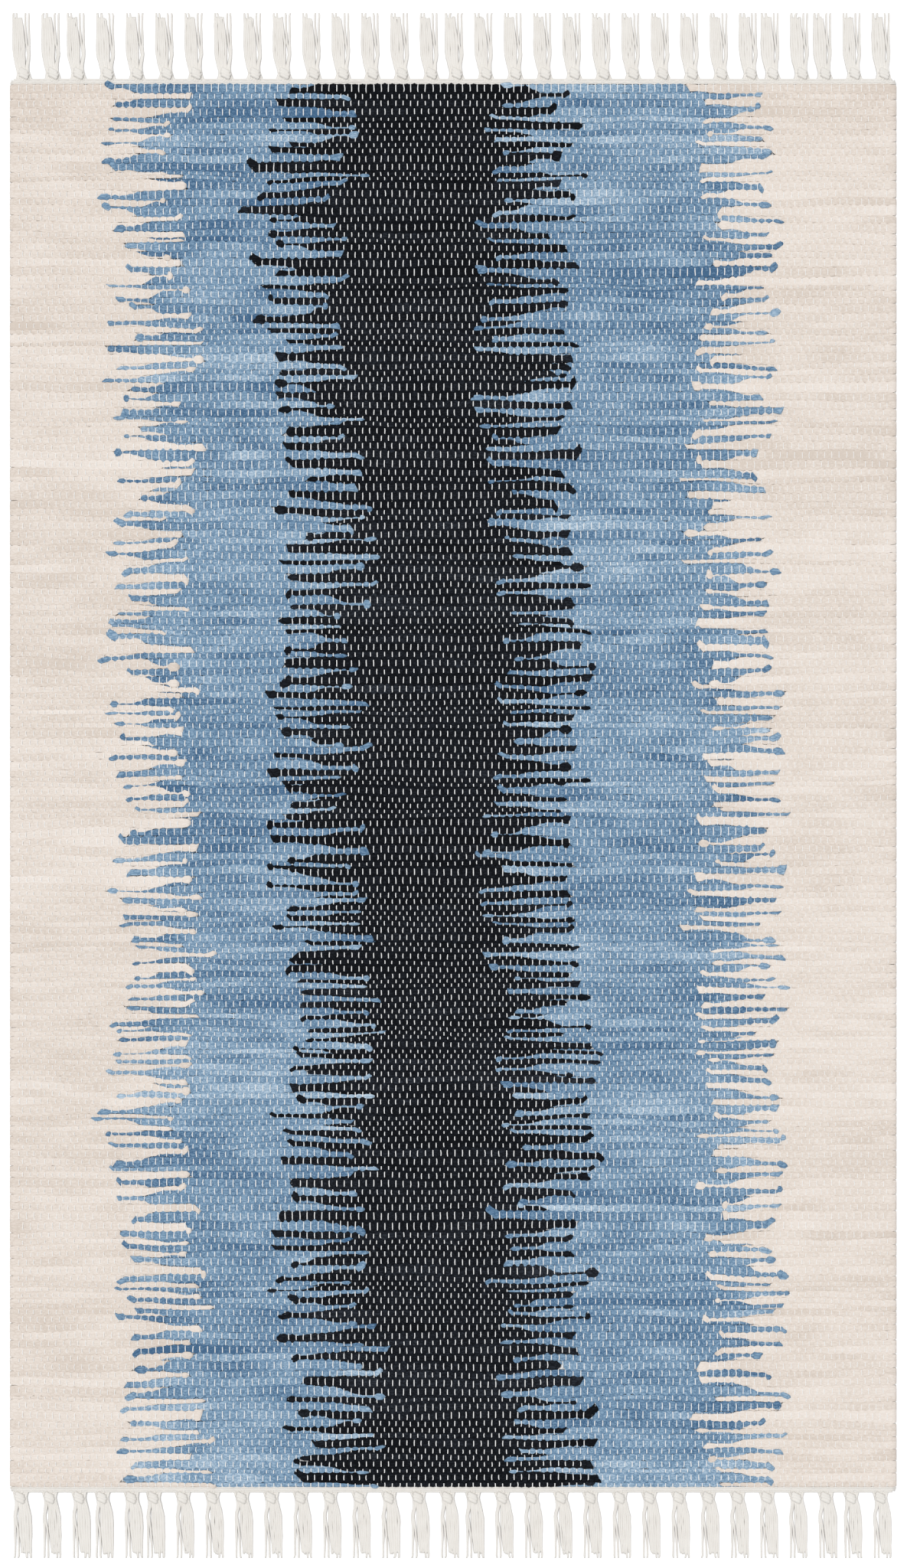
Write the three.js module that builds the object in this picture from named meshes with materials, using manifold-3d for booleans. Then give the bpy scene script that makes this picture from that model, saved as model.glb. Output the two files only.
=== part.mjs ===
// Handwoven cotton rag rug, lying flat, in millimetres with +Z up.
// The origin is on the floor under the middle of the rug. X runs across the rug, along the rag picks,
// and Y runs along the warp, towards the fringe of the head end.
import * as THREE from "three";
import { mergeVertices } from "three/addons/utils/BufferGeometryUtils.js";
import Module from "manifold-3d";

// The warp: 30 inches wide at 8 ends to the inch.
const WARP_ENDS = 240;
const WARP_PITCH = 3.175;
const WIDTH = WARP_ENDS * WARP_PITCH;

// The rag-woven field: thick picks of torn cotton strip, packed side by side.
const PICKS = 198;
const FIELD_LENGTH = 1205;
const PICK_UNEVENNESS = 0.42;
const CROWN_HEIGHT = 5.4;
const VALLEY_HEIGHT = 4.0;
const SELVEDGE_WALL = 2.6;
const SELVEDGE_ROUND = 2.4;

// The heading at each end: a few picks of fine yarn that hold the last rag pick.
const PARTING = 0.3;
const HEADING_DEPTH = 4.6;
const HEADING_THICKNESS = 2.6;
const HEADING_CORNER = 2.0;

// The warp ends beyond the heading are knotted into tassels an inch apart. A few stand closer to the
// one before them. The foot end is the same row turned half round, and lies a little to one side.
const TASSELS = 31;
const TASSEL_PITCH = 25.3;
const FIRST_TASSEL = 11.8;
const CLOSER_TASSELS = [
  { number: 3, by: 3.6 },
  { number: 16, by: 3.7 },
  { number: 27, by: 6.5 },
  { number: 29, by: 5.6 },
];
const FULLER_TASSELS = [8, 21];
const FULLER_BY = 1.2;
const FOOT_SHIFT = 2.0;

// An overhand knot, and how far its middle lies beyond the heading.
const KNOT = { halfWidth: 5.6, halfLength: 6.0, halfHeight: 3.0, reach: 4.5, sides: 8, rings: 4 };

// The ends beyond a knot lie in four flat locks. A row gives a lock's place across the tassel from
// the knot's middle where it leaves the knot, where it has spread and at its tip, with its width
// and by how much it falls short of the full length.
const LOCKS = [
  { root: -3.3, spread: -7.6, tip: -8.0, width: 3.1, shorter: 3.0 },
  { root: -1.1, spread: -3.9, tip: -4.3, width: 3.1, shorter: 4.2 },
  { root: 1.1, spread: -0.4, tip: 1.0, width: 2.3, shorter: 0.0 },
  { root: 3.4, spread: 4.7, tip: 4.5, width: 2.2, shorter: 1.2 },
];
const LOCK_ROOT = 6.0;
const LOCK_SPREAD = 22.0;
const LOCK_REACH = 57.0;
const LOCK_THICKNESS = 2.0;
const TIP_WIDTH_SHARE = 0.75;

const wasm = await Module();
wasm.setup();

// A repeatable unevenness between 0 and 1 for each whole number.
function uneven(n) {
  const s = Math.sin(n * 12.9898) * 43758.5453;
  return s - Math.floor(s);
}

// A closed three.js geometry as a solid for joining and cutting.
function solid(geometry) {
  const bare = new THREE.BufferGeometry();
  bare.setAttribute("position", geometry.getAttribute("position"));
  if (geometry.index) bare.setIndex(geometry.index);
  const merged = mergeVertices(bare, 1e-4);
  return new wasm.Manifold(
    new wasm.Mesh({
      numProp: 3,
      vertProperties: new Float32Array(merged.attributes.position.array),
      triVerts: new Uint32Array(merged.index.array),
    }),
  );
}

// A joined or cut solid as a geometry with flat facets.
function faceted(made) {
  const mesh = made.getMesh();
  const shared = new THREE.BufferGeometry();
  shared.setAttribute("position", new THREE.BufferAttribute(mesh.vertProperties, 3));
  shared.setIndex(new THREE.BufferAttribute(mesh.triVerts, 1));
  const geometry = shared.toNonIndexed();
  geometry.computeVertexNormals();
  return geometry;
}

// An outline of [x, y] points as a prism of the given depth.
function prism(points, depth) {
  const outline = new THREE.Shape(points.map(([x, y]) => new THREE.Vector2(x, y)));
  return new THREE.ExtrudeGeometry(outline, { depth, bevelEnabled: false });
}

// Where each pick begins and ends along the rug, from the foot end. The strips are torn by hand, so
// the picks differ in width.
function pickEdges() {
  const widths = Array.from({ length: PICKS }, (_, p) => 1 + PICK_UNEVENNESS * (2 * uneven(p) - 1));
  const total = widths.reduce((sum, width) => sum + width, 0);
  const edges = [-FIELD_LENGTH / 2];
  for (const width of widths) edges.push(edges.at(-1) + (width * FIELD_LENGTH) / total);
  return edges;
}

// The cloth as a prism along X: a flat underside, and a rib for each pick on top.
function ribbedCloth() {
  const edges = pickEdges();
  const outline = [
    [edges[0], 0],
    [edges[PICKS], 0],
    [edges[PICKS], VALLEY_HEIGHT],
  ];
  for (let p = PICKS - 1; p >= 0; p--) {
    outline.push([(edges[p] + edges[p + 1]) / 2, CROWN_HEIGHT]);
    outline.push([edges[p], VALLEY_HEIGHT]);
  }
  // The outline's x and y become the rug's Y and Z, and the prism's depth becomes X.
  const lying = new THREE.Matrix4().makeBasis(
    new THREE.Vector3(0, 1, 0),
    new THREE.Vector3(0, 0, 1),
    new THREE.Vector3(1, 0, 0),
  );
  return prism(outline, WIDTH).applyMatrix4(lying).translate(-WIDTH / 2, 0, 0);
}

// A prism along Y whose section rounds over the two selvedges, where each pick turns back.
function selvedgeSection() {
  const half = WIDTH / 2;
  const above = CROWN_HEIGHT + 1;
  const spare = 10;
  const section = prism(
    [
      [-half, 0],
      [half, 0],
      [half, SELVEDGE_WALL],
      [half - SELVEDGE_ROUND, above],
      [-half + SELVEDGE_ROUND, above],
      [-half, SELVEDGE_WALL],
    ],
    FIELD_LENGTH + 2 * spare,
  );
  return section.rotateX(Math.PI / 2).translate(0, FIELD_LENGTH / 2 + spare, 0);
}

function wovenField() {
  return faceted(solid(ribbedCloth()).intersect(solid(selvedgeSection())));
}

// The narrow heading strip of one end, with its two outer corners drawn in.
function headingStrip(inner, outer) {
  const half = WIDTH / 2;
  return prism(
    [
      [-half, inner],
      [half, inner],
      [half, outer - HEADING_CORNER],
      [half - HEADING_CORNER, outer],
      [-half + HEADING_CORNER, outer],
      [-half, outer - HEADING_CORNER],
    ],
    HEADING_THICKNESS,
  );
}

// One knot: a rounded lump that rests on the floor.
function knot(x, outer, fullness) {
  const lump = new THREE.SphereGeometry(1, KNOT.sides, KNOT.rings);
  lump.scale(KNOT.halfWidth * fullness, KNOT.halfLength, KNOT.halfHeight);
  return lump.translate(x, outer + KNOT.reach, KNOT.halfHeight);
}

// One lock, level on the floor: out along its right side and back along its left.
function lock(x, outer, fullness, row) {
  const half = row.width / 2;
  const stations = [
    { x: x + row.root * fullness, y: outer + LOCK_ROOT, half },
    { x: x + row.spread * fullness, y: outer + LOCK_SPREAD, half },
    { x: x + row.tip * fullness, y: outer + LOCK_REACH - row.shorter, half: half * TIP_WIDTH_SHARE },
  ];
  const right = stations.map((s) => [s.x + s.half, s.y]);
  const left = stations.map((s) => [s.x - s.half, s.y]).reverse();
  return prism([...right, ...left], LOCK_THICKNESS);
}

// The places of the tassels across the rug, from the left of the head end.
function tasselPlaces() {
  const places = [];
  let x = FIRST_TASSEL - WIDTH / 2;
  for (let number = 1; number <= TASSELS; number++) {
    const closer = CLOSER_TASSELS.find((row) => row.number === number);
    if (number > 1) x += TASSEL_PITCH - (closer ? closer.by : 0);
    places.push({ x, fullness: FULLER_TASSELS.includes(number) ? FULLER_BY : 1 });
  }
  return places;
}

// One end's fringe: the heading strip, with its knots and their locks fused to it.
function fringe(shift) {
  const inner = FIELD_LENGTH / 2 + PARTING;
  const outer = inner + HEADING_DEPTH;
  const pieces = [headingStrip(inner, outer)];
  for (const { x, fullness } of tasselPlaces()) {
    pieces.push(knot(x + shift, outer, fullness));
    for (const row of LOCKS) pieces.push(lock(x + shift, outer, fullness, row));
  }
  return faceted(pieces.map(solid).reduce((joined, piece) => joined.add(piece)));
}

function cotton(color, roughness) {
  return new THREE.MeshStandardMaterial({ color, roughness, metalness: 0 });
}

const rug = new THREE.Group();

const field = new THREE.Mesh(wovenField(), cotton("#7f9bb5", 0.92));
field.name = "woven_field";
rug.add(field);

const headFringe = new THREE.Mesh(fringe(0), cotton("#e4dfd8", 0.9));
headFringe.name = "fringe_head";
rug.add(headFringe);

const footFringe = new THREE.Mesh(fringe(FOOT_SHIFT), cotton("#e4dfd8", 0.9));
footFringe.name = "fringe_foot";
footFringe.rotation.z = Math.PI;
rug.add(footFringe);

export default rug;
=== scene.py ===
# %% [markdown]
# # A handwoven cotton rag rug
# The rug lies flat on a pale floor and is seen from straight above. On the real one, torn strips of
# cotton cloth are packed side by side as the weft, over and under a fine cotton warp. The warp shows
# as rows of small pale ticks. Each pick is made of five strips, undyed, blue, black, blue and
# undyed, and where two of them meet they share the shed, so the stripes interlock raggedly.
#
# One flat sheet with a picture of weave would look right from far off. Here each strip and each warp
# end is a real tube that goes over and under, because then the ticks, ribs, scallops and tails come
# out by themselves, from every side. That is many small things, so they are built as joined meshes
# from arrays of rings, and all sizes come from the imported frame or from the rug's sett.

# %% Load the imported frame
import math

import bmesh
import bpy
import numpy as np
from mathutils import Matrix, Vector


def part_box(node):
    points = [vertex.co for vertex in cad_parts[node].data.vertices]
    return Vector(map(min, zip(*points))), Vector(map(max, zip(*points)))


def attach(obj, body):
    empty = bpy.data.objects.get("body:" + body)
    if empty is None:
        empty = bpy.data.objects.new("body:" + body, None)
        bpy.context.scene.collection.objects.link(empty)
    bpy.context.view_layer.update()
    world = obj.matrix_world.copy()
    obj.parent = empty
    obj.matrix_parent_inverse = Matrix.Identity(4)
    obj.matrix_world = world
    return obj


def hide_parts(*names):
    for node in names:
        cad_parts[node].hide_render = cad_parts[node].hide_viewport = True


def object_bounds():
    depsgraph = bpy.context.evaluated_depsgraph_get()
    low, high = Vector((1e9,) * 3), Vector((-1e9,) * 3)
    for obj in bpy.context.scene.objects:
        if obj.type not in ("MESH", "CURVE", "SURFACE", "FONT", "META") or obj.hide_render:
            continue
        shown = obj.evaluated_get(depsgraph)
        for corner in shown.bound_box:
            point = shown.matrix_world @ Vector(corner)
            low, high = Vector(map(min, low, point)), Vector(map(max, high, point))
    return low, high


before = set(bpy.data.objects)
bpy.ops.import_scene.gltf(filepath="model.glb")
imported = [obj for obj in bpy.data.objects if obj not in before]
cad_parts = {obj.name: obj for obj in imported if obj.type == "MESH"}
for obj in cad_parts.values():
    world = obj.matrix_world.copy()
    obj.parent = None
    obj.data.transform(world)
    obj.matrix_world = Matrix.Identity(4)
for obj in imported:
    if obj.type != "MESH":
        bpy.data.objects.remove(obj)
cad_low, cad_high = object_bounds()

MM = 0.001
field_low, field_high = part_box("woven_field")
WIDTH = field_high.x - field_low.x
FIELD_LENGTH = field_high.y - field_low.y
RUG_LENGTH = cad_high.y - cad_low.y
print(f"woven field {WIDTH / MM:.1f} by {FIELD_LENGTH / MM:.1f} mm, rug {RUG_LENGTH / MM:.1f} mm long")

# %% [markdown]
# ## The camera
# The photo was taken from straight above, with no sign of perspective. A long lens from high up does
# the same. The rug is 1158 pixels wide in the photo, which gives the size of a pixel, and so the
# height of what the camera sees. The rug's middle lies a little below and left of the frame's.

# %% Camera
scene = bpy.context.scene
PHOTO_HEIGHT_PIXELS = 2048
RUG_WIDTH_PIXELS = 1158
OFF_MIDDLE_PIXELS = (0.5, 2.0)
LENS_MM = 100.0
SENSOR_MM = 36.0
pixel = WIDTH / RUG_WIDTH_PIXELS
seen_height = PHOTO_HEIGHT_PIXELS * pixel
camera_data = bpy.data.cameras.new("overhead_camera")
camera_data.lens = LENS_MM
camera_data.sensor_width = SENSOR_MM
camera = bpy.data.objects.new("overhead_camera", camera_data)
camera.location = (
    OFF_MIDDLE_PIXELS[0] * pixel,
    OFF_MIDDLE_PIXELS[1] * pixel,
    cad_high.z / 2 + seen_height * LENS_MM / SENSOR_MM,
)
scene.collection.objects.link(camera)
scene.camera = camera
print(f"camera {camera.location.z:.3f} m up, seeing {seen_height:.3f} m of the floor")

# %% [markdown]
# ## The floor and the light
# The photo's ground is pure white and without shadow, and even the undyed rows hardly show their
# relief. That is what a broad soft light from beside the camera does: it reaches into the valleys
# that the camera sees. So a sun with a wide disc stands nearly overhead, tipped a little to the upper
# left to model the ribs, and a white sky fills in. Together they are a touch stronger than white, so
# the floor stays white beside the rug too.

# %% Floor and light
FLOOR_HALF = 60.0
SKY_STRENGTH = 0.45
SUN_SHARE = 0.68
SUN_SPREAD_DEGREES = 22.0
SUN_TILT_DEGREES = (-9.0, -7.0)
scene.view_settings.view_transform = "Standard"

floor_mesh = bpy.data.meshes.new("floor")
build = bmesh.new()
bmesh.ops.create_grid(build, x_segments=1, y_segments=1, size=FLOOR_HALF)
build.to_mesh(floor_mesh)
build.free()
floor = bpy.data.objects.new("floor", floor_mesh)
scene.collection.objects.link(floor)

world = bpy.data.worlds.new("even_white_sky")
world.use_nodes = True
sky = world.node_tree.nodes["Background"]
sky.inputs["Color"].default_value = (1.0, 1.0, 1.0, 1.0)
sky.inputs["Strength"].default_value = SKY_STRENGTH
scene.world = world

sun_data = bpy.data.lights.new("broad_sun", "SUN")
sun_data.energy = SUN_SHARE * math.pi
sun_data.angle = math.radians(SUN_SPREAD_DEGREES)
sun = bpy.data.objects.new("broad_sun", sun_data)
sun.rotation_euler = [math.radians(a) for a in SUN_TILT_DEGREES] + [0.0]
scene.collection.objects.link(sun)
print(f"sky {SKY_STRENGTH} and sun {SUN_SHARE}")

# %% [markdown]
# ## Colours and nodes
# Colours are written as sRGB hex values, as a dyer's card or a paint program gives them, and turned
# into the linear values that Blender mixes light in. One small function adds a node, with its
# settings, values and links, so that each material reads as a short list of what it is made of.

# %% Helpers for materials
def linear(hex_colour):
    """An sRGB hex colour as linear red, green, blue and alpha."""
    parts = [int(hex_colour[i : i + 2], 16) / 255 for i in (1, 3, 5)]
    return [p / 12.92 if p <= 0.04045 else ((p + 0.055) / 1.055) ** 2.4 for p in parts] + [1.0]


def add(tree, kind, inputs=None, **settings):
    """A new node. inputs gives each socket a value, or the output that feeds it."""
    made = tree.nodes.new(kind)
    for name, value in settings.items():
        setattr(made, name, value)
    for socket, value in (inputs or {}).items():
        if isinstance(value, bpy.types.NodeSocket):
            tree.links.new(value, made.inputs[socket])
        else:
            made.inputs[socket].default_value = value
    return made


def new_material(name):
    """A material with its node tree and its surface shader."""
    made = bpy.data.materials.new(name)
    made.use_nodes = True
    return made, made.node_tree, made.node_tree.nodes["Principled BSDF"]


floor_paint, _, floor_surface = new_material("matt_white_floor")
floor_surface.inputs["Base Color"].default_value = (1.0, 1.0, 1.0, 1.0)
floor_surface.inputs["Roughness"].default_value = 1.0
floor_surface.inputs["Specular IOR Level"].default_value = 0.0
floor_mesh.materials.append(floor_paint)
print(f"floor material {floor_paint.name}")

# %% [markdown]
# ## Torn cotton strip
# The weft is old or offcut cotton cloth, dyed in the piece, torn into strips and crushed into the
# shed. Cotton cloth is matt: high roughness and weak gloss. The strip folds on itself, so a net of
# fine creases runs along it, 1.7 mm apart and 4.5 mm long, and its cloth is a little lighter or
# darker between them. Cell edges of a stretched Voronoi pattern make such a net. The creases are a
# bump, and the shade that falls in them is painted into the colour as a darkening along them. Each
# strip has its own shade of dye, so every ring of every strip carries a value called tone, which the
# painted crease shade shifts before a ramp turns it into colour. The cloth's own threads are too
# fine to show, so they are only a small bump, drawn 1 mm apart, about twice as coarse as they are.

# %% Torn cotton strip
CREASE_LENGTH = 4.5 * MM
CREASE_GAP = 1.7 * MM
CREASE_EDGE = 0.16
CREASE_BEND = 0.25
PATCHES_PER_CREASE = 0.9
CLOTH_THREAD = 1 * MM
CLOTH_RELIEF = 0.1 * MM
# How often a diagonal wave texture repeats in each unit of x + y + z, at a scale of 1.
DIAGONAL_WAVES = 10 / (2 * math.pi)


def torn_cotton(name, shades, mottle, crease_shade_depth, crease_height, gloss):
    """Crushed strips of plain cotton cloth. shades run from dark to light, evenly along the ramp.
    mottle is how far the cloth's patches shift the tone, and the argument after it is how far painted
    shade darkens the tone along the creases."""
    made, tree, surface = new_material(name)
    place = add(tree, "ShaderNodeTexCoord").outputs["Object"]
    net_scale = (1 / CREASE_LENGTH, 1 / CREASE_GAP, 1 / CREASE_GAP)
    stretched = add(tree, "ShaderNodeMapping", {"Vector": place, "Scale": net_scale}).outputs[0]
    patches = add(
        tree,
        "ShaderNodeTexNoise",
        {"Vector": stretched, "Scale": PATCHES_PER_CREASE, "Detail": 3.0},
    )
    bent = add(
        tree,
        "ShaderNodeMix",
        {"Factor": CREASE_BEND, "A": stretched, "B": patches.outputs["Color"]},
        data_type="VECTOR",
        blend_type="ADD",
    )
    cells = add(
        tree,
        "ShaderNodeTexVoronoi",
        {"Vector": bent.outputs["Result"], "Scale": 1.0},
        feature="DISTANCE_TO_EDGE",
    ).outputs["Distance"]
    smooth_cloth = add(
        tree,
        "ShaderNodeMapRange",
        {"Value": cells, "From Min": 0.0, "From Max": CREASE_EDGE},
        interpolation_type="SMOOTHSTEP",
    ).outputs["Result"]
    tone = add(tree, "ShaderNodeAttribute", attribute_name="tone").outputs["Fac"]
    patchy = add(tree, "ShaderNodeMath", {0: patches.outputs["Fac"], 1: 0.5}, operation="SUBTRACT")
    mottled = add(
        tree,
        "ShaderNodeMath",
        {0: patchy.outputs[0], 1: mottle, 2: tone},
        operation="MULTIPLY_ADD",
    )
    # Along the crease lines the tone is darkened: painted shade in the folds, beside the bump below.
    crease_shade_mask = add(tree, "ShaderNodeMath", {0: smooth_cloth, 1: 1.0}, operation="SUBTRACT")
    shaded = add(
        tree,
        "ShaderNodeMath",
        {0: crease_shade_mask.outputs[0], 1: crease_shade_depth, 2: mottled.outputs[0]},
        operation="MULTIPLY_ADD",
    )
    ramp = add(tree, "ShaderNodeValToRGB", {"Fac": shaded.outputs[0]})
    stops = ramp.color_ramp.elements
    for number in range(len(shades) - len(stops)):
        stops.new(0.5)
    for number, shade in enumerate(shades):
        stops[number].position = number / (len(shades) - 1)
        stops[number].color = linear(shade)
    tree.links.new(ramp.outputs["Color"], surface.inputs["Base Color"])
    threads = add(tree, "ShaderNodeMapping", {"Vector": place, "Scale": (1 / CLOTH_THREAD,) * 3}).outputs[0]
    weave = add(
        tree,
        "ShaderNodeTexWave",
        {"Vector": threads, "Scale": 1 / DIAGONAL_WAVES, "Distortion": 2.0},
        bands_direction="DIAGONAL",
    ).outputs["Fac"]
    creased = add(
        tree,
        "ShaderNodeBump",
        {"Height": smooth_cloth, "Strength": 1.0, "Distance": crease_height},
    ).outputs["Normal"]
    woven = add(
        tree,
        "ShaderNodeBump",
        {"Height": weave, "Strength": 0.5, "Distance": CLOTH_RELIEF, "Normal": creased},
    ).outputs["Normal"]
    tree.links.new(woven, surface.inputs["Normal"])
    surface.inputs["Roughness"].default_value = 0.95
    surface.inputs["Specular IOR Level"].default_value = gloss
    return made


UNDYED_SHADES = ("#d2c6bb", "#e1d7ce", "#e9e1da")
BLUE_SHADES = ("#446688", "#7e9cb6", "#b9ccdc")
BLACK_SHADES = ("#0e1014", "#1c1f25", "#30353d")
# The crease darkening that each cloth below is given is painted shade in its folds.
undyed_rag = torn_cotton(
    "undyed_torn_cotton",
    UNDYED_SHADES,
    mottle=0.6,
    crease_shade_depth=0.3,
    crease_height=0.08 * MM,
    gloss=0.15,
)
blue_rag = torn_cotton(
    "blue_dyed_torn_cotton",
    BLUE_SHADES,
    mottle=0.85,
    crease_shade_depth=0.27,
    crease_height=0.18 * MM,
    gloss=0.12,
)
black_rag = torn_cotton(
    "black_dyed_torn_cotton",
    BLACK_SHADES,
    mottle=0.9,
    crease_shade_depth=0.4,
    crease_height=0.25 * MM,
    gloss=0.08,
)
print(f"cloth materials {undyed_rag.name}, {blue_rag.name} and {black_rag.name}")

# %% [markdown]
# ## Cotton warp yarn
# The warp, the headings and the tassels are one soft plied undyed cotton, about 1 mm thick. Two plies
# twist round each other, which gives the slanting ridges of a yarn. They are drawn 4.2 mm apart,
# coarser than on the real yarn, because finer ones would not show. The ridges follow each yarn's own
# map, which runs in metres along it and once from 0 to 1 round it. Where the warp comes up between
# the strips it stands high and catches the light, so the warp is given a lighter, nearly white copy
# of the yarn: painted light. The headings and the tassels keep the darker shade, so the yarn has two
# materials that differ only in shade.

# %% Cotton warp yarn
RIDGE_LENGTH = 4.243 * MM
RIDGES_ROUND = 0.7071
RIDGE_RELIEF = 0.15 * MM
LINT_SIZE = 9 * MM


def plied_cotton(name, dark, light):
    """Undyed cotton yarn with its twist as slanting ridges along the yarn's own map."""
    made, tree, surface = new_material(name)
    own_map = add(tree, "ShaderNodeUVMap", uv_map="along_and_round").outputs["UV"]
    ridge_scale = (1 / RIDGE_LENGTH, RIDGES_ROUND, 1.0)
    plies = add(tree, "ShaderNodeMapping", {"Vector": own_map, "Scale": ridge_scale}).outputs[0]
    twist = add(
        tree,
        "ShaderNodeTexWave",
        {"Vector": plies, "Scale": 1 / DIAGONAL_WAVES, "Distortion": 0.6},
        bands_direction="DIAGONAL",
    ).outputs["Fac"]
    place = add(tree, "ShaderNodeTexCoord").outputs["Object"]
    lint = add(tree, "ShaderNodeTexNoise", {"Vector": place, "Scale": 1 / LINT_SIZE, "Detail": 2.0})
    colour = add(
        tree,
        "ShaderNodeMix",
        {"Factor": lint.outputs["Fac"], "A": linear(dark), "B": linear(light)},
        data_type="RGBA",
    )
    tree.links.new(colour.outputs["Result"], surface.inputs["Base Color"])
    ridges = add(tree, "ShaderNodeBump", {"Height": twist, "Strength": 0.3, "Distance": RIDGE_RELIEF})
    tree.links.new(ridges.outputs["Normal"], surface.inputs["Normal"])
    surface.inputs["Roughness"].default_value = 0.85
    surface.inputs["Specular IOR Level"].default_value = 0.25
    return made


# The warp is the same yarn drawn lighter, nearly white: painted light where its ticks stand high.
lit_warp_cotton = plied_cotton("warp_yarn_painted_light", "#eeeeed", "#f7f7f6")
fringe_cotton = plied_cotton("fringe_cotton_yarn", "#dedad4", "#e9e6e1")
print(f"yarn materials {lit_warp_cotton.name} and {fringe_cotton.name}")

# %% [markdown]
# ## Tubes from rings
# Every strip, warp end and tassel strand is a tube: a row of rings, each with a centre, a half width
# and a half height. A bevelled curve could do this, but not with a width that changes by the
# millimetre and a shade for each ring, and not hundreds of times over in good time. So rings are
# worked out as arrays and joined in one mesh, with quads between the rings and a face at both ends.

# %% Tubes from rings
X_AXIS = np.array([1.0, 0.0, 0.0])
Y_AXIS = np.array([0.0, 1.0, 0.0])
Z_AXIS = np.array([0.0, 0.0, 1.0])
totals = {}


def round_section(sides, turn=0.0):
    """The corners of a regular section, as parts of the half width and half height."""
    angles = turn + math.pi / 2 + 2 * math.pi * np.arange(sides) / sides
    return np.stack([np.cos(angles), np.sin(angles)], -1)


def tube(centres, half_width, half_height, section, sideways, upwards, tone=0.5):
    """One closed tube with a ring at each centre. sideways x upwards points along it."""
    count = len(centres)
    across = np.broadcast_to(half_width, (count,))[:, None] * section[:, 0]
    above = np.broadcast_to(half_height, (count,))[:, None] * section[:, 1]
    across_axis = np.broadcast_to(sideways, (count, 3))[:, None, :]
    above_axis = np.broadcast_to(upwards, (count, 3))[:, None, :]
    rings = centres[:, None, :] + across[..., None] * across_axis + above[..., None] * above_axis
    steps_along = np.linalg.norm(np.diff(centres, axis=0), axis=1)
    return {
        "rings": rings,
        "along": np.concatenate([[0.0], np.cumsum(steps_along)]),
        "tone": np.broadcast_to(tone, (count,)),
    }


def joined(name, tubes, material, sharp_corners=()):
    """One mesh object from many tubes, all with the same number of sides. Edges along sharp_corners
    of the section keep the faces beside them apart in shading."""
    sides = tubes[0]["rings"].shape[1]
    here = np.arange(sides)
    after = (here + 1) % sides
    quads, quad_map, caps, cap_map = [], [], [], []
    base = 0
    for made in tubes:
        count = len(made["rings"])
        first = base + np.arange(count - 1)[:, None] * sides
        quads.append(np.stack([first + here, first + after, first + sides + after, first + sides + here], -1))
        u = np.broadcast_to(made["along"][:, None], (count, sides))
        low = np.broadcast_to(here / sides, (count - 1, sides))
        high = low + 1 / sides
        corners = [(u[:-1], low), (u[:-1], high), (u[1:], high), (u[1:], low)]
        quad_map.append(np.stack([np.stack(pair, -1) for pair in corners], 2))
        caps.append(np.stack([base + here[::-1], base + (count - 1) * sides + here]))
        cap_map.append(np.stack([np.full((2, sides), made["along"][-1]), np.tile(here / sides, (2, 1))], -1))
        base += count * sides
    points = np.concatenate([made["rings"].reshape(-1, 3) for made in tubes])
    tones = np.concatenate([np.repeat(made["tone"], sides) for made in tubes])
    faces = np.concatenate([q.reshape(-1, 4) for q in quads]).tolist() + np.concatenate(caps).tolist()
    mesh = bpy.data.meshes.new(name)
    mesh.from_pydata(points.tolist(), [], faces)
    mesh.uv_layers.new(name="along_and_round")
    uvs = np.concatenate([m.reshape(-1, 2) for m in quad_map] + [m.reshape(-1, 2) for m in cap_map])
    mesh.uv_layers["along_and_round"].data.foreach_set("uv", uvs.astype(np.float32).ravel())
    mesh.attributes.new("tone", "FLOAT", "POINT")
    mesh.attributes["tone"].data.foreach_set("value", tones.astype(np.float32))
    mesh.shade_smooth()
    edge_ends = np.empty(2 * len(mesh.edges), dtype=np.int32)
    mesh.edges.foreach_get("vertices", edge_ends)
    corner = edge_ends.reshape(-1, 2) % sides
    sharp = (corner[:, 0] == corner[:, 1]) & np.isin(corner[:, 0], sharp_corners)
    mesh.attributes.new("sharp_edge", "BOOLEAN", "EDGE")
    mesh.attributes["sharp_edge"].data.foreach_set("value", sharp)
    mesh.materials.append(material)
    made = bpy.data.objects.new(name, mesh)
    scene.collection.objects.link(made)
    triangles = 2 * sum(q.size // 4 for q in quads) + 2 * len(tubes) * (sides - 2)
    totals[name] = triangles
    print(f"{name}: {len(tubes)} tubes, {triangles} triangles")
    return made


def settle(piece, slot_name, *nodes):
    """The piece rides on the rug's one body and stands for these CAD nodes."""
    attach(piece, "root")
    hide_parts(*nodes)


# %% [markdown]
# ## Where the rows run
# Each pick is as wide as its strip is thick, so most rows are 4 to 8 mm wide, and each row also
# swells and thins along its length. Rows rest on one another, so the swellings push the next rows
# up, but a weaver beats each row straight: what adds up over about five rows is taken out again.
# The widths along the warp are the same as the ribs of the CAD solid.

# %% Where the rows run
PICKS = 198
WARP_ENDS = 240
WARP_PITCH = WIDTH / WARP_ENDS
PICK_UNEVENNESS = 0.42
SWELLING = 0.11
SWELLING_ENDS = 6
BEATEN_ROWS = 5
SWAY = 0.9 * MM
SWAY_ENDS = 26
SWAY_ROWS = 9
rng = np.random.default_rng(1329)


def uneven(n):
    """A repeatable unevenness between 0 and 1 for each whole number, as in the CAD source."""
    s = math.sin(n * 12.9898) * 43758.5453
    return s - math.floor(s)


def blurred(rows, spread):
    """Each row blurred along its length by that many steps."""
    reach = int(3 * spread)
    kernel = np.exp(-0.5 * (np.arange(-reach, reach + 1) / spread) ** 2)
    wide = np.pad(rows, [(0, 0), (reach, reach)], mode="reflect")
    return np.apply_along_axis(np.convolve, 1, wide, kernel / kernel.sum(), "valid")


def smooth_noise(rows, columns, spread):
    """Smooth random rows with a mean of 0 and a spread of 1."""
    rough = blurred(rng.standard_normal((rows, columns)), spread)
    return rough * math.sqrt(2 * spread * math.sqrt(math.pi))


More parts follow.
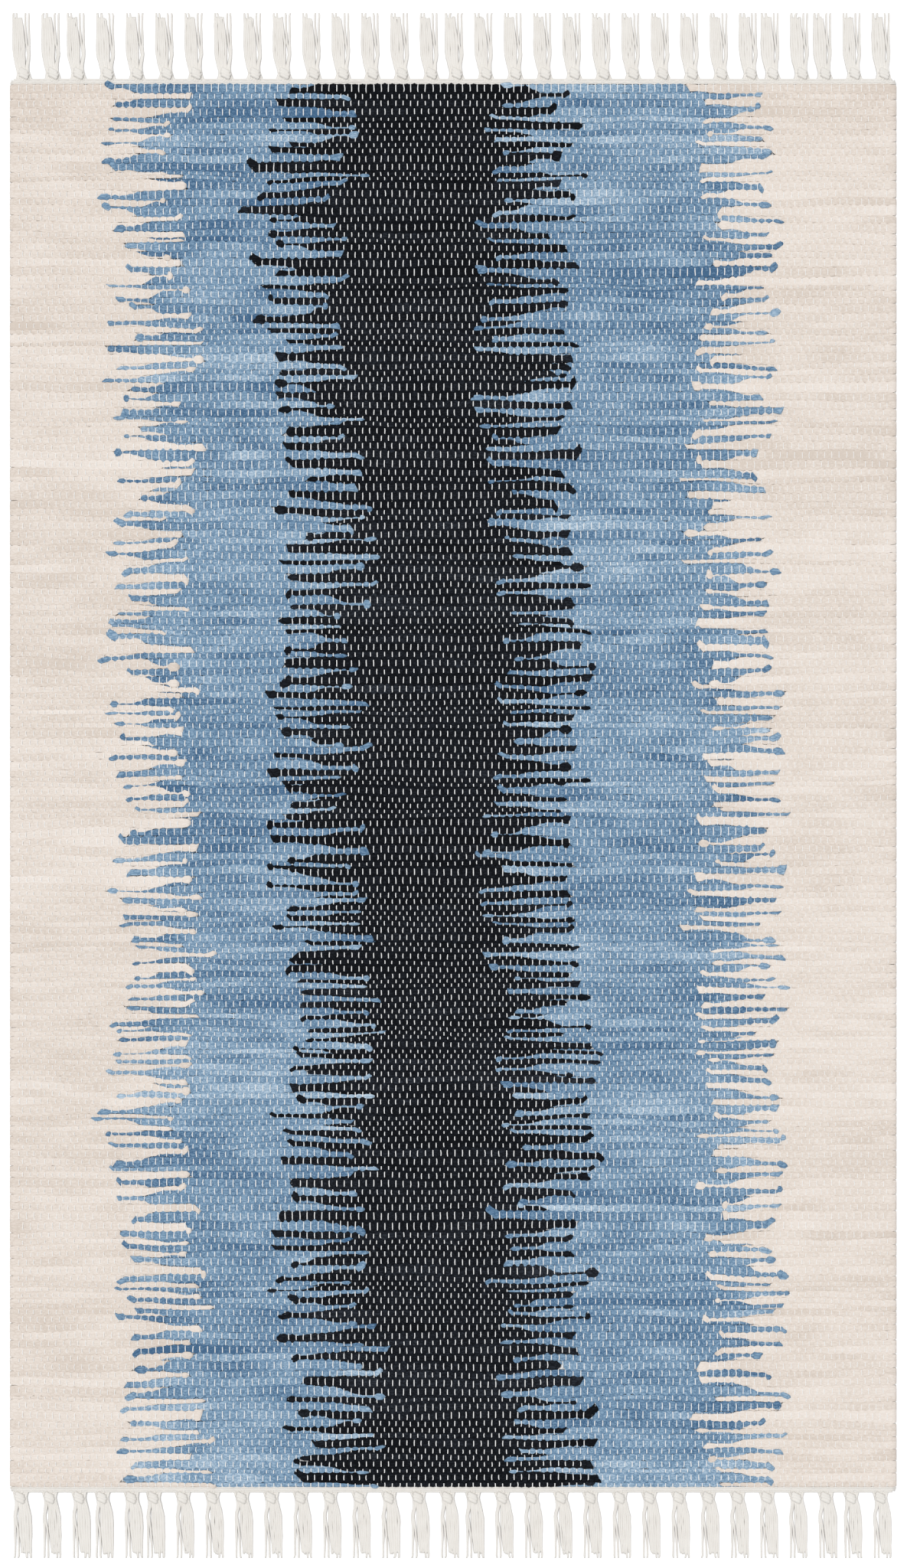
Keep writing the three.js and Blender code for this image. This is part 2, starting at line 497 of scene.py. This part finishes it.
end_x = (np.arange(WARP_ENDS) + 0.5) * WARP_PITCH - WIDTH / 2
pick_widths = np.array([1 + PICK_UNEVENNESS * (2 * uneven(p) - 1) for p in range(PICKS)])
pick_widths *= FIELD_LENGTH / pick_widths.sum()
straight_edges = np.concatenate([[0.0], np.cumsum(pick_widths)]) - FIELD_LENGTH / 2
swollen = pick_widths[:, None] * (1 + SWELLING * smooth_noise(PICKS, WARP_ENDS, SWELLING_ENDS))
piled = np.concatenate([np.zeros((1, WARP_ENDS)), np.cumsum(swollen, axis=0)]) - FIELD_LENGTH / 2
pushed = piled - straight_edges[:, None]
pushed = pushed - blurred(pushed.T, BEATEN_ROWS).T
sway = SWAY * blurred(smooth_noise(PICKS + 1, WARP_ENDS, SWAY_ENDS).T, SWAY_ROWS).T
from_ends = np.minimum(np.arange(PICKS + 1), PICKS - np.arange(PICKS + 1))
held = np.clip(from_ends / BEATEN_ROWS, 0, 1)[:, None]
edges = straight_edges[:, None] + (pushed + sway) * held
row_heights = np.diff(edges, axis=0)
print(f"rows {row_heights.min() / MM:.1f} to {row_heights.max() / MM:.1f} mm")
print(f"rows pushed {pushed.std() / MM:.2f} mm")

# %% [markdown]
# ## Where the strips meet
# At a join both strips lie in the same shed for a few centimetres. One of them, the long one, runs
# on as a tail that thins and ends in a blunt tuft, and the other begins beside it, tucked under it.
# The side that runs on changes with every pick, now and then twice the same, which makes the stripes
# interlock like fingers. The lengths are drawn at random between the shortest and longest that a rug
# like this shows, and the join wanders a little from row to row. Nothing is traced: only the rule is
# the same.

# %% Where the strips meet
JOINS = [
    {"x": -0.257, "lean": 0.006, "wave": 0.006, "phase": 0.4, "reach": 0.0205},
    {"x": -0.114, "lean": 0.010, "wave": 0.008, "phase": 1.9, "reach": 0.0235},
    {"x": 0.073, "lean": 0.009, "wave": 0.007, "phase": 3.1, "reach": 0.0235},
    {"x": 0.246, "lean": 0.005, "wave": 0.003, "phase": 5.0, "reach": 0.0205},
]
WAVE_ROWS = 70
JOIN_WANDER = 4 * MM
REACH_SPREAD = 0.30
SHORTEST_REACH = 9 * MM
LONGEST_REACH = 46 * MM
SAME_SIDE_TWICE = 0.10
joins = len(JOINS)
row_number = np.arange(PICKS)
row_middle = (straight_edges[:-1] + straight_edges[1:]) / 2

join_x = np.zeros((PICKS, joins))
for k, join in enumerate(JOINS):
    wave = join["wave"] * np.sin(2 * math.pi * row_number / WAVE_ROWS + join["phase"])
    join_x[:, k] = join["x"] - join["lean"] * row_middle / (FIELD_LENGTH / 2) + wave
join_x += JOIN_WANDER * rng.standard_normal((PICKS, joins))
slips = np.cumsum(rng.random((PICKS, joins)) < SAME_SIDE_TWICE, axis=0)
long_side = np.where((row_number[:, None] + slips + np.arange(joins)) % 2 == 0, 1, -1)
mean_reach = np.array([join["reach"] for join in JOINS])
reach = mean_reach * (1 + REACH_SPREAD * rng.standard_normal((PICKS, joins)))
reach = np.clip(reach, SHORTEST_REACH, LONGEST_REACH)
print(f"tails {reach.min() / MM:.0f} to {reach.max() / MM:.0f} mm long, {int(slips[-1].sum())} slips")

# %% [markdown]
# ## How a tail thins
# Past the join a tail thins over a part of its length to a share of the row. The undyed and black
# strips stay wide and the blue ones are drawn narrower, and now and then a tail is hardly more than a
# thread of cloth. Past its last warp end it opens again into a tuft. Its partner fills what it leaves
# of the row, above or below it at random.

# %% How a tail thins
COLOURS = ("undyed", "blue", "black", "blue", "undyed")
# The share of the row that a tail and its tuft fill, and the chance that the tail is thin.
TAILS = {
    "undyed": {"tail": (0.50, 0.95), "tuft": (0.75, 1.10), "thin": 0.10},
    "blue": {"tail": (0.45, 0.78), "tuft": (0.60, 0.98), "thin": 0.16},
    "black": {"tail": (0.55, 0.95), "tuft": (0.75, 1.15), "thin": 0.18},
}
THIN_TAIL = (0.22, 0.38)
TUFT_LENGTH = (5 * MM, 12.5 * MM)
# The part of the tail over which it thins, and how far before the join the thinning starts.
TAPER = (0.4, 1.0)
LEAD = 4 * MM

tail_share = np.zeros((PICKS, joins))
tuft_share = np.zeros((PICKS, joins))
for p in range(PICKS):
    for k in range(joins):
        habit = TAILS[COLOURS[k] if long_side[p, k] > 0 else COLOURS[k + 1]]
        thin = rng.random() < habit["thin"]
        tail_share[p, k] = rng.uniform(*(THIN_TAIL if thin else habit["tail"]))
        tuft_share[p, k] = rng.uniform(*habit["tuft"])
taper = reach * rng.uniform(*TAPER, (PICKS, joins))
tuft_length = rng.uniform(*TUFT_LENGTH, (PICKS, joins))
tail_low = rng.random((PICKS, joins)) < 0.5


def eased(u):
    """From 0 to 1 with a soft start and stop."""
    u = np.clip(u, 0, 1)
    return u * u * (3 - 2 * u)


def tail_width(p, k, x):
    """How much of row p the strip that runs on past join k fills at each x."""
    beyond = (x - join_x[p, k]) * long_side[p, k]
    thinning = eased((beyond + LEAD) / (LEAD + taper[p, k]))
    width = 1 - (1 - tail_share[p, k]) * thinning
    return np.where(beyond > reach[p, k] + tuft_length[p, k], 0.0, width)


print(f"tails fill {tail_share.min():.2f} to {tail_share.max():.2f} of a row")

# %% [markdown]
# ## How a strip is crushed
# A strip passes over one warp end and under the next, so its middle goes up and down by under a
# millimetre. It swells where it lies free on top and is drawn in where a warp end holds it down,
# which makes the small square blocks between the ticks. Five corners are enough for a form that is
# nine pixels wide in the photo: a nearly flat top with two sharp shoulders, and the widest part near
# the floor, so that the rows close up and hardly show a shadow between them. The crushed cloth is uneven
# from ring to ring, and a narrow tail more so.

# %% How a strip is crushed
MIDDLE_HEIGHT = 2.8 * MM
STRIP_HALF_HEIGHT = 1.95 * MM
STRIP_SECTION = np.array([(0.0, 1.0), (-0.9, 0.72), (-1.02, -0.34), (1.02, -0.34), (0.9, 0.72)])
SHOULDERS = (1, 4)
# Rise and fall of a strip's middle, its width where it lies on top and where a warp end holds it
# down, and its height there, each as a part of a full strip's, and how uneven its width is.
CRUSH = {
    "undyed": {"rise": 0.35 * MM, "top": 1.20, "held": 1.08, "held_height": 0.80, "uneven": 0.04},
    "blue": {"rise": 0.55 * MM, "top": 1.22, "held": 1.0, "held_height": 0.74, "uneven": 0.07},
    "black": {"rise": 0.65 * MM, "top": 1.26, "held": 1.06, "held_height": 0.88, "uneven": 0.07},
}
# How much more a narrow tail is drawn in, how much more uneven its width is, how uneven the height
# is, and how little of its height a narrow tail loses.
BEADED = 0.5
UNEVEN_TAIL = 0.16
UNEVEN_HEIGHT = 0.05
HEIGHT_LOSS = 0.45


def crushed(row, share, on_top, crush):
    """Half the width and half the height, ring by ring, of a strip that fills this share of its row."""
    half_width = row * share / 2 * np.where(on_top, crush["top"], crush["held"])
    half_width *= np.where(on_top, 1.0, 1 - BEADED * (1 - share))
    half_width *= 1 + (crush["uneven"] + UNEVEN_TAIL * (1 - share)) * rng.standard_normal(len(share))
    half_height = STRIP_HALF_HEIGHT * share**HEIGHT_LOSS
    half_height *= 1 + UNEVEN_HEIGHT * rng.standard_normal(len(share))
    half_height *= np.where(on_top, 1.0, crush["held_height"])
    return half_width, half_height


for colour, crush in CRUSH.items():
    print(f"{colour} strip: {crush['held'] / crush['top']:.2f} as wide where it is held as on top")

# %% [markdown]
# ## How a strip ends
# A strip ends in one of three ways. At a selvedge it turns down into the next row, so the rows end in
# pairs. Where it runs on past a join, it ends in a tuft on top of the cloth, beyond the last warp end
# that holds it down. Where its partner runs on, it begins narrow and low beside it. Each way is a few
# rings beyond the strip's own warp ends, listed from the inside out. Widths are parts of the row, and
# heights are parts of a full strip's.

# %% How a strip ends
SELVEDGE_IN = np.array([1.5, 0.0]) * MM
SELVEDGE = {
    "width": np.array([1.08, 1.0]),
    "height": np.array([0.95, 0.8]),
    "rise": np.array([-0.1, -1.1]) * MM,
}
TUFT_OUT = np.array([0.3, 0.72, 1.0])
TUFT = {
    "width": np.array([1.05, 1.0, 0.4]),
    "height": np.array([0.75, 0.75, 0.4]),
    "rise": np.array([1.3, 1.45, 1.0]) * MM,
}
TUFT_NARROWEST = np.array([0.8, 0.8, 0.4])
TUFT_WIDEST = np.array([1.1, 1.1, 1.1])
START_PAST_JOIN = 0.2
START = {
    "width": np.array([0.3]),
    "height": np.array([0.5]),
    "rise": np.array([-0.5]) * MM,
}


def join_beside(c, side):
    """The join at the left (-1) or right (1) end of strip c, or None where that is a selvedge."""
    k = c - 1 if side < 0 else c
    return k if 0 <= k < joins else None


def strip_ending(p, c, side):
    """The rings at one end of strip c in row p: where they are, and their width, height and rise."""
    k = join_beside(c, side)
    if k is None:
        return {"x": side * (WIDTH / 2 - SELVEDGE_IN), **SELVEDGE}
    if long_side[p, k] != side:
        start = join_x[p, k] - side * (START_PAST_JOIN * taper[p, k] - LEAD)
        return {"x": np.array([start]), **START}
    last = np.argmin(np.abs(end_x - join_x[p, k] - side * reach[p, k]))
    # The last warp end that the strip crosses has to hold it down.
    last += side * ((p + last + 1) % 2)
    x = end_x[last] + side * tuft_length[p, k] * TUFT_OUT
    width = tuft_share[p, k] * TUFT["width"] * rng.uniform(TUFT_NARROWEST, TUFT_WIDEST)
    return {**TUFT, "x": x, "width": width}


print(f"{len(SELVEDGE_IN)} rings at a selvedge and {len(TUFT_OUT)} in a tuft")

# %% [markdown]
# ## How two strips share the shed
# Near a join, the strip that runs on lies a little higher than its partner, which is tucked under
# it, and each keeps to its own side of the row. Away from the joins a strip fills its row.

# %% How two strips share the shed
TUCKED_UNDER = 0.55
TUCKED_DOWN = 0.9 * MM
TAIL_LIFT = 0.5 * MM


def in_the_shed(p, c, x):
    """The share of row p that strip c fills at each x, where in the row it begins, and its lift."""
    share = np.ones(len(x))
    from_low = np.zeros(len(x))
    lift = np.zeros(len(x))
    for side in (-1, 1):
        k = join_beside(c, side)
        if k is None:
            continue
        near = np.abs(x - join_x[p, k]) < LONGEST_REACH + TUFT_LENGTH[1]
        tail = tail_width(p, k, x)
        if long_side[p, k] == side:
            own, lies_low, up = tail, tail_low[p, k], TAIL_LIFT * (1 - tail)
        else:
            own, lies_low, up = 1 - (1 - TUCKED_UNDER) * tail, not tail_low[p, k], -TUCKED_DOWN * tail
        share = np.where(near, own, share)
        from_low = np.where(near, 0.0 if lies_low else 1 - own, from_low)
        lift = np.where(near, up, lift)
    return share, from_low, lift


print(f"a partner lies up to {TUCKED_DOWN / MM:.1f} mm lower than a full strip")

# %% [markdown]
# ## One weft strip
# A strip has a ring at each warp end that it crosses, on top of it or held down by it in turn, and
# the rings of its two ends. At the selvedges no tick shows, so there the strip stays level. Its tone
# wanders a little along it, as piece-dyed cloth does.

# %% One weft strip
FLOOR_GAP = 0.02 * MM
CLOSEST_RINGS = 0.8 * MM
THINNEST = 0.5 * MM
PLAIN_SELVEDGE_ENDS = 2
SELVEDGE_PAIRED = np.array([0.06, 0.2])
TONE_ALONG = 0.10
TONE_ENDS = 4


def weft_strip(p, c, row_tone):
    """Strip c of row p as a tube, with how far across the rug it reaches and the area it fills."""
    crush = CRUSH[COLOURS[c]]
    left = strip_ending(p, c, -1)
    right = strip_ending(p, c, 1)
    past_left = end_x > left["x"][0] + CLOSEST_RINGS
    before_right = end_x < right["x"][0] - CLOSEST_RINGS
    own_ends = np.flatnonzero(past_left & before_right)
    x = np.concatenate([left["x"][::-1], end_x[own_ends], right["x"]])
    count = len(x)
    left_rings = np.arange(len(left["x"]))[::-1]
    right_rings = np.arange(count - len(right["x"]), count)

    low = np.interp(x, end_x, edges[p])
    row = np.interp(x, end_x, edges[p + 1]) - low
    share, from_low, lift = in_the_shed(p, c, x)
    share = np.maximum(share, THINNEST / row)
    y = low + row * (from_low + share / 2)

    on_top = np.ones(count, dtype=bool)
    on_top[len(left_rings) : right_rings[0]] = (p + own_ends) % 2 == 0
    half_width, half_height = crushed(row, share, on_top, crush)
    z = MIDDLE_HEIGHT + np.where(on_top, 1, -1) * crush["rise"] + lift
    level = np.abs(x) > WIDTH / 2 - PLAIN_SELVEDGE_ENDS * WARP_PITCH
    z[level] = MIDDLE_HEIGHT + crush["rise"] / 2

    for ending, rings in ((left, left_rings), (right, right_rings)):
        half_width[rings] = row[rings] * ending["width"] / 2
        half_height[rings] = STRIP_HALF_HEIGHT * ending["height"]
        z[rings] = MIDDLE_HEIGHT + ending["rise"]
        at_selvedge = abs(x[rings[-1]]) > WIDTH / 2 - MM
        if at_selvedge:
            towards_partner = 1 if p % 2 == 0 else -1
            y[rings] += towards_partner * half_width[rings] * SELVEDGE_PAIRED

    tone = np.clip(row_tone + TONE_ALONG * smooth_noise(1, count, TONE_ENDS)[0], 0, 1)
    centres = np.stack([x, y, z], -1)
    made = tube(centres, half_width, half_height, STRIP_SECTION, Y_AXIS, Z_AXIS, tone)
    made["rings"][..., 2] = np.maximum(made["rings"][..., 2], FLOOR_GAP)
    made["reach"] = (x[0], x[-1])
    filled = row * share
    made["area"] = float((np.diff(x) * (filled[1:] + filled[:-1]) / 2).sum())
    return made


# %% [markdown]
# ## The five stripes
# Each stripe is one piece: a strip in every row, made of one dyed cloth. The dye differs from strip
# to strip, and a little more over some rows, where the weaver opened a new bundle.

# %% The five stripes
TONE_DRIFT = 0.055
DRIFT_ROWS = 4
TONE_OF_STRIP = 0.08
STRIPES = [
    ("undyed_rag_left", undyed_rag),
    ("blue_rag_left", blue_rag),
    ("black_rag", black_rag),
    ("blue_rag_right", blue_rag),
    ("undyed_rag_right", undyed_rag),
]
for c, (name, material) in enumerate(STRIPES):
    drift = TONE_DRIFT * smooth_noise(1, PICKS, DRIFT_ROWS)[0]
    row_tones = 0.5 + drift + TONE_OF_STRIP * rng.standard_normal(PICKS)
    strips = [weft_strip(p, c, row_tones[p]) for p in range(PICKS)]
    piece = joined(name, strips, material, SHOULDERS)
    settle(piece, "rag_weft", "woven_field")

# %% [markdown]
# ## The warp
# The 240 warp ends run the other way, over one pick and under the next, and neighbours are opposite.
# Where one comes up it shows as a pale tick, a little slanted, because the strips push it about. The
# undyed strips are softer and close over the warp, so the ticks are finer there. The two outermost
# ends at each side run inside the selvedge. Every end goes on through the heading, which is thinner
# than the rag part. Three sides are enough for a tick one or two pixels wide.

# %% The warp
YARN_RADIUS = 0.47 * MM
WARP_RISE = 2.35 * MM
WARP_PUSHED = 0.29 * MM
UNDYED_PINCH = 0.75
INSIDE_STEP = 9
PARTING = 0.3 * MM
HEADING_ROWS = 3
HEADING_PITCH = 1.5 * MM
HEADING_MARGIN = 0.8 * MM
HEADING_MIDDLE = 2.4 * MM
HEADING_WARP_RISE = 0.15 * MM
head_inner = FIELD_LENGTH / 2 + PARTING
heading_rows_y = head_inner + HEADING_MARGIN + HEADING_PITCH * np.arange(HEADING_ROWS)
head_outer = heading_rows_y[-1] + HEADING_MARGIN


def warp_end(e):
    """Warp end e, from the foot's heading over and under the picks to the head's."""
    middles = (edges[:-1, e] + edges[1:, e]) / 2
    over = np.where((np.arange(PICKS) + e) % 2 == 1, 1.0, -1.0)
    inside = e < PLAIN_SELVEDGE_ENDS or e >= WARP_ENDS - PLAIN_SELVEDGE_ENDS
    z = MIDDLE_HEIGHT + (0.0 if inside else WARP_RISE) * over
    x = end_x[e] + WARP_PUSHED * rng.standard_normal(PICKS)
    if inside:
        middles = middles[::INSIDE_STEP]
        z = z[::INSIDE_STEP]
        x = np.full(len(z), end_x[e])
    over_heading = np.where((np.arange(HEADING_ROWS) + e) % 2 == 0, 1, -1)
    heading_z = HEADING_MIDDLE + HEADING_WARP_RISE * over_heading
    heading_x = np.full(HEADING_ROWS, end_x[e])
    y = np.concatenate([-heading_rows_y[::-1], middles, heading_rows_y])
    z = np.concatenate([heading_z[::-1], z, heading_z])
    x = np.concatenate([heading_x, x, heading_x])
    in_undyed = end_x[e] < JOINS[0]["x"] or end_x[e] > JOINS[-1]["x"]
    half_width = YARN_RADIUS * (UNDYED_PINCH if in_undyed else 1)
    section = round_section(3, math.pi)
    return tube(np.stack([x, y, z], -1), half_width, YARN_RADIUS, section, -X_AXIS, Z_AXIS)


half_way = WARP_ENDS // 2
# The warp ends take the lighter yarn, painted light on the ticks.
for name, ends in (("warp_left", range(half_way)), ("warp_right", range(half_way, WARP_ENDS))):
    piece = joined(name, [warp_end(e) for e in ends], lit_warp_cotton)
    settle(piece, "warp_yarn", "woven_field")

# %% [markdown]
# ## The headings
# Before the first rag pick and after the last, a few picks of the fine warp yarn lock the cloth. They
# make a narrow, smooth, pale band whose corners are drawn in a little.

# %% The headings
HEADING_DRAWN_IN = (0.3 * MM, 1.0 * MM, 3.5 * MM)
HEADING_YARN_HALF_WIDTH = 1.2 * MM
HEADING_YARN_HALF_HEIGHT = 1.04 * MM
HEADING_YARN_RISE = 0.06 * MM
HEADING_YARN_WANDER = 0.1 * MM
WANDER_ENDS = 4


def heading_yarn(row, end):
    """One heading pick. end is 1 at the head and -1 at the foot."""
    y = end * heading_rows_y[row]
    half = WIDTH / 2 - HEADING_DRAWN_IN[row]
    x = np.clip(np.concatenate([[-half], end_x[1:-1], [half]]), -half, half)
    rise = np.where((np.arange(WARP_ENDS) + row) % 2 == 1, 1.0, -1.0)
    z = HEADING_MIDDLE + HEADING_YARN_RISE * rise
    wander = HEADING_YARN_WANDER * smooth_noise(1, WARP_ENDS, WANDER_ENDS)[0]
    # The outermost row is pulled straight by the knots.
    centres = np.stack([x, y + wander * (row < HEADING_ROWS - 1), z], -1)
    section = round_section(4, math.pi / 4)
    return tube(centres, HEADING_YARN_HALF_WIDTH, HEADING_YARN_HALF_HEIGHT, section, Y_AXIS, Z_AXIS)


for name, node, end in (("heading_head", "fringe_head", 1), ("heading_foot", "fringe_foot", -1)):
    piece = joined(name, [heading_yarn(row, end) for row in range(HEADING_ROWS)], fringe_cotton)
    settle(piece, "warp_yarn", node)

# %% [markdown]
# ## The tassels
# Beyond the heading the warp ends are gathered seven or eight at a time, tied in an overhand knot and
# left as a tassel. In the photo every tassel fans out the same way: most strands lie side by side to
# the left, two stand apart at the right, and just past the knot the right ones part and leave a small
# eye. The table gives these places across a tassel, in millimetres, at seven distances from the
# heading. Each strand takes its own place between them, and lies on the floor from half way out.
# The two right strands and two of the bundle are the longest, and the others end a little earlier.

# %% The tassels
TASSELS = 31
TASSEL_PITCH = 25.3 * MM
FIRST_TASSEL = 11.8 * MM
CLOSER_TASSELS = {3: 3.6 * MM, 16: 3.7 * MM, 27: 6.5 * MM, 29: 5.6 * MM}
FOOT_SHIFT = 2.0 * MM
FRINGE_REACH = RUG_LENGTH / 2 - head_outer
# How far out, then the place of the bundle's left and right strand and of the two right strands, and
# how far they are lifted off the floor, all in millimetres.
FAN = [
    {"out": 0.0, "bundle": (-5.6, 2.0), "right": (3.6, 5.2), "lift": 1.2},
    {"out": 4.5, "bundle": (-4.2, 1.5), "right": (2.8, 4.0), "lift": 1.9},
    {"out": 10.5, "bundle": (-6.2, 0.4), "right": (1.7, 3.0), "lift": 1.1},
    {"out": 21.0, "bundle": (-8.7, 0.1), "right": (4.3, 5.0), "lift": 0.25},
    {"out": 30.0, "bundle": (-8.9, 0.4), "right": (2.2, 4.3), "lift": 0.1},
    {"out": 40.0, "bundle": (-9.0, -0.9), "right": (1.4, 4.1), "lift": 0.0},
    {"out": 49.0, "bundle": (-9.1, -2.4), "right": (1.0, 4.4), "lift": 0.0},
]
FAN_OUT = np.array([row["out"] for row in FAN]) * MM
FAN_LIFT = np.array([row["lift"] for row in FAN]) * MM
RIGHT_STRANDS = 2
RING_DISTANCES = np.array([-2.0, 0.3, 4.5, 7.4, 10.5, 14.0, 17.5, 21.0, 25.5, 31.0, 38.0, 46.0]) * MM
BEFORE_TIP = 2.0 * MM
STRAND_SIDES = 5
STRAND_HALF_WIDTH = 1.12 * MM
STRAND_HALF_HEIGHT = 0.65 * MM
BUNDLE_WIDTH = 9.0 * MM
STRANDS_OVERLAP = 1.3
# The strands of the bundle that are as long as the right ones, by how much each kind falls short of
# the fringe's full reach, and how much a long one thins towards its tip and at the tip.
LONG_IN_BUNDLE = (0, 2)
LONG_FALLS_SHORT = (0.0, 0.2 * MM)
OTHERS_FALL_SHORT = (3.0 * MM, 4.8 * MM)
LONG_END_WIDTH = 0.75
TIP_WIDTH = 0.8
# How far a strand strays, and how every other strand of a tassel is lifted where it leaves the knot.
STRAY = 0.12 * MM
TIP_STRAY = 0.3 * MM
CROSSING_LIFT = 0.35 * MM
CROSSING_OUT = 9 * MM
CROSSING_LENGTH = 8 * MM


def tassel_places():
    """The tassels across the rug, from the left. A few stand closer to the one before them."""
    places = []
    x = FIRST_TASSEL - WIDTH / 2
    for number in range(1, TASSELS + 1):
        if number > 1:
            x += TASSEL_PITCH - CLOSER_TASSELS.get(number, 0.0)
        places.append(x)
    return np.array(places)


def strand(e, tassel_x, place, count):
    """Warp end e beyond the heading, as strand number place of count in its tassel."""
    bundle = count - RIGHT_STRANDS
    if place < bundle:
        side, part = "bundle", place / (bundle - 1)
        half_width = max(STRAND_HALF_WIDTH, STRANDS_OVERLAP * BUNDLE_WIDTH / (bundle - 1) / 2)
    else:
        side, part = "right", place - bundle
        half_width = STRAND_HALF_WIDTH
    across = [row[side][0] + (row[side][1] - row[side][0]) * part for row in FAN]
    across = tassel_x + np.array(across) * MM
    long = side == "right" or place in LONG_IN_BUNDLE
    length = FRINGE_REACH - rng.uniform(*(LONG_FALLS_SHORT if long else OTHERS_FALL_SHORT))
    distance = np.concatenate([RING_DISTANCES, [length - BEFORE_TIP, length]])
    known_out = np.concatenate([[RING_DISTANCES[0]], FAN_OUT, [length]])

    known_x = np.concatenate([[(end_x[e] + across[0]) / 2], across, [across[-1]]])
    x = np.interp(distance, known_out, known_x)
    x = (2 * x + np.roll(x, 1) + np.roll(x, -1)) / 4
    x[0] = known_x[0]
    x[-1] = known_x[-1] + TIP_STRAY * rng.standard_normal()
    x[2:-1] += STRAY * rng.standard_normal(len(x) - 3)

    known_z = np.concatenate([[HEADING_MIDDLE], STRAND_HALF_HEIGHT + FAN_LIFT, [STRAND_HALF_HEIGHT]])
    from_crossing = (distance - CROSSING_OUT) / CROSSING_LENGTH
    z = np.interp(distance, known_out, known_z)
    z += CROSSING_LIFT * (place % 2) * np.exp(-(from_crossing**2))

    fullness = np.ones_like(distance)
    fullness[-3:] *= LONG_END_WIDTH if long else 1.0
    fullness[-1] *= TIP_WIDTH
    half_height = STRAND_HALF_HEIGHT * fullness
    centres = np.stack([x, head_outer + distance, np.maximum(z, half_height + FLOOR_GAP)], -1)
    section = round_section(STRAND_SIDES, math.pi / STRAND_SIDES)
    return tube(centres, half_width * fullness, half_height, section, -X_AXIS, Z_AXIS)


# %% [markdown]
# ## The knots
# An overhand knot shows as a rounded lump: the tassel's own yarns go once round it, slanting, and come
# out through the middle. So a band of three thick turns winds round the gathered strands, and small
# loops of yarn peep out over the heading beside it.

# %% The knots
KNOT_REACH = 4.6 * MM
KNOT_HALF_WIDTH = 3.7 * MM
KNOT_HALF_HEIGHT = 1.0 * MM
# Each yarn of the knot: how far along the tassel from the knot's middle, and how wide its turn is.
KNOT_YARNS = ((-2.4 * MM, 0.8), (-0.2 * MM, 1.0), (2.2 * MM, 0.8))
KNOT_YARN = 1.95 * MM
KNOT_SLANT = 1.5 * MM
LOOPS_ACROSS = (-1.2 * MM, 1.2 * MM, 3.6 * MM)
LOOP_IN = 0.6 * MM
LOOP_HEIGHT = 3.1 * MM
LOOP_RADIUS = 1.2 * MM
LOOP_YARN = 0.5 * MM
YARN_SIDES = 6
ROUND = np.linspace(0, 2 * math.pi, 12)
# A direction that no turn of the knot and no loop runs along, to set the rings square by.
NEVER_ALONG = Y_AXIS + 0.3 * Z_AXIS


def ring_of_yarn(centres, radius):
    """A yarn that follows centres, with rings square to it."""
    ahead = np.gradient(centres, axis=0)
    ahead /= np.linalg.norm(ahead, axis=1)[:, None]
    sideways = np.cross(NEVER_ALONG, ahead)
    sideways /= np.linalg.norm(sideways, axis=1)[:, None]
    upwards = np.cross(ahead, sideways)
    return tube(centres, radius, radius, round_section(YARN_SIDES), sideways, upwards)


def knot(tassel_x):
    """The turns and the loops of one knot, as tubes."""
    yarns = []
    for along, swell in KNOT_YARNS:
        x = tassel_x + KNOT_HALF_WIDTH * swell * np.cos(ROUND)
        y = head_outer + KNOT_REACH + along - KNOT_SLANT * np.cos(ROUND)
        z = KNOT_HALF_HEIGHT + KNOT_YARN + FLOOR_GAP + KNOT_HALF_HEIGHT * swell * np.sin(ROUND)
        yarns.append(ring_of_yarn(np.stack([x, y, z], -1), KNOT_YARN))
    for across in LOOPS_ACROSS:
        x = tassel_x + across + LOOP_RADIUS * np.cos(ROUND)
        y = head_outer - LOOP_IN + LOOP_RADIUS * np.sin(ROUND)
        z = np.full_like(x, LOOP_HEIGHT)
        yarns.append(ring_of_yarn(np.stack([x, y, z], -1), LOOP_YARN))
    return yarns


for name, node, end in (("head", "fringe_head", 1), ("foot", "fringe_foot", -1)):
    places = tassel_places() + (0.0 if end > 0 else FOOT_SHIFT)
    nearest = np.abs(end_x[:, None] - places).argmin(axis=1)
    tubes_of = {"tassels": [], "knots": []}
    for number, tassel_x in enumerate(places):
        own = np.flatnonzero(nearest == number)
        for place, e in enumerate(own):
            tubes_of["tassels"].append(strand(e, tassel_x, place, len(own)))
        tubes_of["knots"].extend(knot(tassel_x))
    for kind, tubes in tubes_of.items():
        for made in tubes:
            made["rings"] = made["rings"] * np.array([end, end, 1.0])
        piece = joined(f"{kind}_{name}", tubes, fringe_cotton)
        settle(piece, "warp_yarn", node)

# %% [markdown]
# ## The pieces
# The rug is one cloth, woven 762 by 1205 mm without its headings. Its weft is in five pieces here
# only because one mesh would be too big.

print(f"{sum(totals.values())} triangles in all, {max(totals.values())} in the largest piece")
